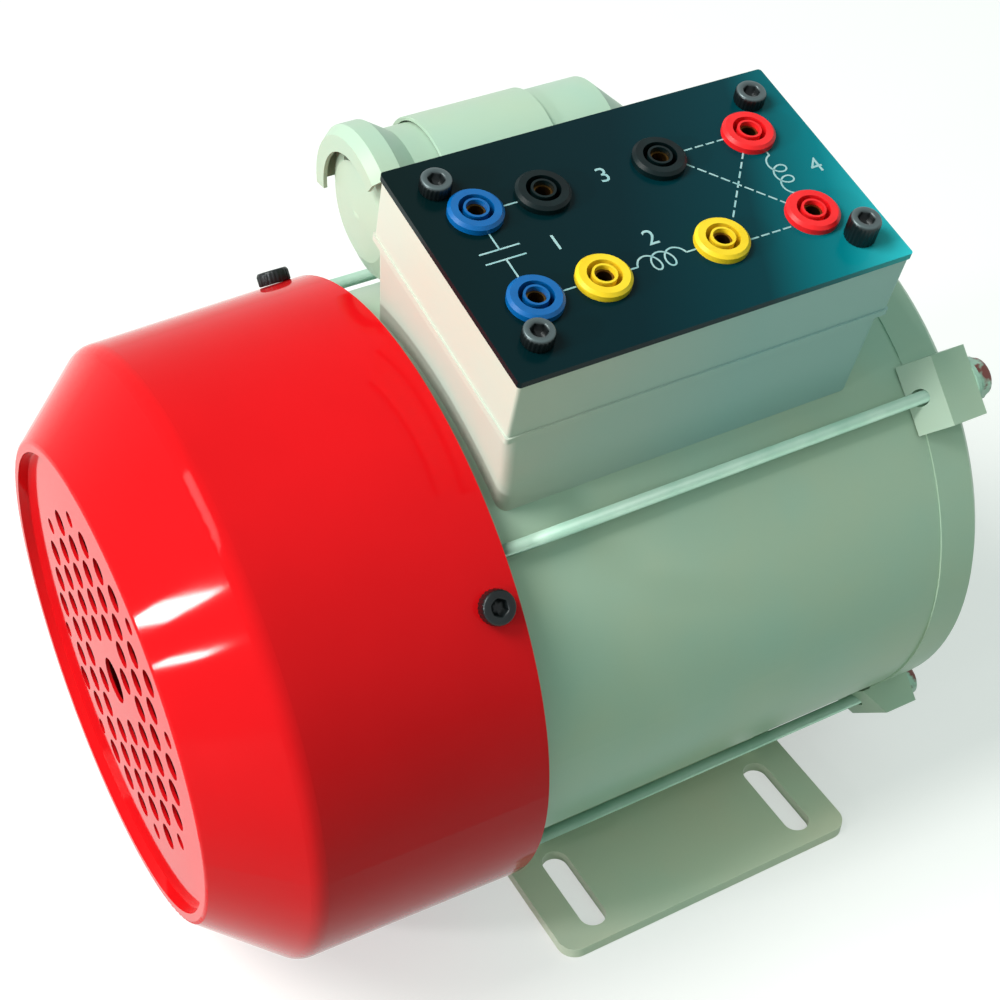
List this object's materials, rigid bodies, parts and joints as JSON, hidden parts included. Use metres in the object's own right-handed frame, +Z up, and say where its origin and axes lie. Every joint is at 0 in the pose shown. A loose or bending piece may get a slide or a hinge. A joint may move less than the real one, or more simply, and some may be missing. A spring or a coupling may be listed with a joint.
{
  "type": "demonstration electric motor",
  "caption": "Split-phase demonstration motor: foot, perforated cowl over a fan, wound stator, cage rotor, centrifugal switch, capacitor and a tilted panel of coloured 4 mm sockets.",
  "frame": {"origin": "centre of the foot's slot pattern on the underside of the foot, straight under the shaft", "axes": "+Z up, +Y along the shaft towards the driven end, +X to the side that the terminal panel leans to"},
  "size_m": [0.192, 0.2989, 0.2431],
  "materials": {
    "green_enamel": "gloss",
    "red_enamel": "gloss",
    "red_primer": "matte",
    "painted_steel": "satin",
    "blackened_steel": "satin",
    "lamination_steel": "matte",
    "copper_wire": "gloss",
    "cast_aluminium": "matte",
    "bright_steel": "satin",
    "laminated_resin": "matte",
    "brass_parts": "satin",
    "rubber_sheet": "matte",
    "black_gloss_panel": "gloss",
    "blue_plastic": "gloss",
    "black_plastic": "gloss",
    "yellow_plastic": "gloss",
    "red_plastic": "gloss",
    "brown_can": "satin"
  },
  "bodies": {
    "stator": {"capacitor": "brown_can", "capacitor_bracket": "green_enamel", "capacitor_end_cap_drive": "green_enamel", "capacitor_end_cap_fan": "green_enamel", "capacitor_nipple": "green_enamel", "capacitor_sleeve": "green_enamel", "capacitor_terminals": "brass_parts", "cowl_screws": "blackened_steel", "drive_bearing_outer_ring": "bright_steel", "drive_end_shield": "green_enamel", "fan_bearing_outer_ring": "bright_steel", "fan_cowl": "red_enamel", "fan_end_shield": "green_enamel", "foot_plate": "green_enamel", "foot_saddles": "green_enamel", "panel_gasket": "rubber_sheet", "panel_screws": "blackened_steel", "preload_washer": "bright_steel", "run_winding": "copper_wire", "socket_black_1": "black_plastic", "socket_black_2": "black_plastic", "socket_blue_1": "blue_plastic", "socket_blue_2": "blue_plastic", "socket_contacts": "brass_parts", "socket_nuts": "brass_parts", "socket_red_1": "red_plastic", "socket_red_2": "red_plastic", "socket_yellow_1": "yellow_plastic", "socket_yellow_2": "yellow_plastic", "solder_tags": "brass_parts", "start_winding": "copper_wire", "stator_core": "lamination_steel", "switch_board": "laminated_resin", "switch_board_screws": "bright_steel", "switch_terminals": "brass_parts", "terminal_box_base": "green_enamel", "terminal_box_cover": "green_enamel", "terminal_panel": "black_gloss_panel", "tie_bolt_washers": "red_primer", "tie_bolts": "painted_steel", "yoke_shell": "green_enamel"},
    "rotor": {"motor_shaft": "bright_steel", "shaft_key": "bright_steel", "rotor_core": "lamination_steel", "rotor_cage": "cast_aluminium", "drive_bearing_inner_ring": "bright_steel", "drive_bearing_balls": "bright_steel", "drive_bearing_cage": "bright_steel", "fan_bearing_inner_ring": "bright_steel", "fan_bearing_balls": "bright_steel", "fan_bearing_cage": "bright_steel", "cooling_fan": "cast_aluminium", "fan_circlip": "bright_steel", "governor_plate": "bright_steel", "governor_springs": "bright_steel"},
    "governor_collar": {"governor_collar": "laminated_resin"},
    "governor_weight_a": {"governor_weight_a": "bright_steel"},
    "governor_weight_b": {"governor_weight_b": "bright_steel"},
    "contact_arm": {"contact_arm": "brass_parts"}
  },
  "joints": [
    {"name": "rotor_spin", "type": "hinge", "parent": "stator", "child": "rotor", "pos_m": [0, 0, 0.1], "axis": [0, 1, 0], "continuous": true},
    {"name": "collar_slide", "type": "slide", "parent": "rotor", "child": "governor_collar", "axis": [0, 1, 0], "range_m": [0, 0.004], "stiffness_N_per_m": 400},
    {"name": "weight_a_swing", "type": "hinge", "parent": "rotor", "child": "governor_weight_a", "pos_m": [0, -0.057, 0.124], "axis": [1, 0, 0], "range_deg": [0, 28.7]},
    {"name": "weight_b_swing", "type": "hinge", "parent": "rotor", "child": "governor_weight_b", "pos_m": [0, -0.057, 0.076], "axis": [-1, 0, 0], "range_deg": [0, 28.7]},
    {"name": "contact_arm_rock", "type": "hinge", "parent": "stator", "child": "contact_arm", "pos_m": [0, -0.0671, 0.14], "axis": [1, 0, 0], "range_deg": [0, 8.9]}
  ],
  "couplings": [
    {"joint": "weight_a_swing", "follows": "collar_slide", "rad_per_m": 125},
    {"joint": "weight_b_swing", "follows": "collar_slide", "rad_per_m": 125},
    {"joint": "contact_arm_rock", "follows": "collar_slide", "rad_per_m": 38.6}
  ]
}
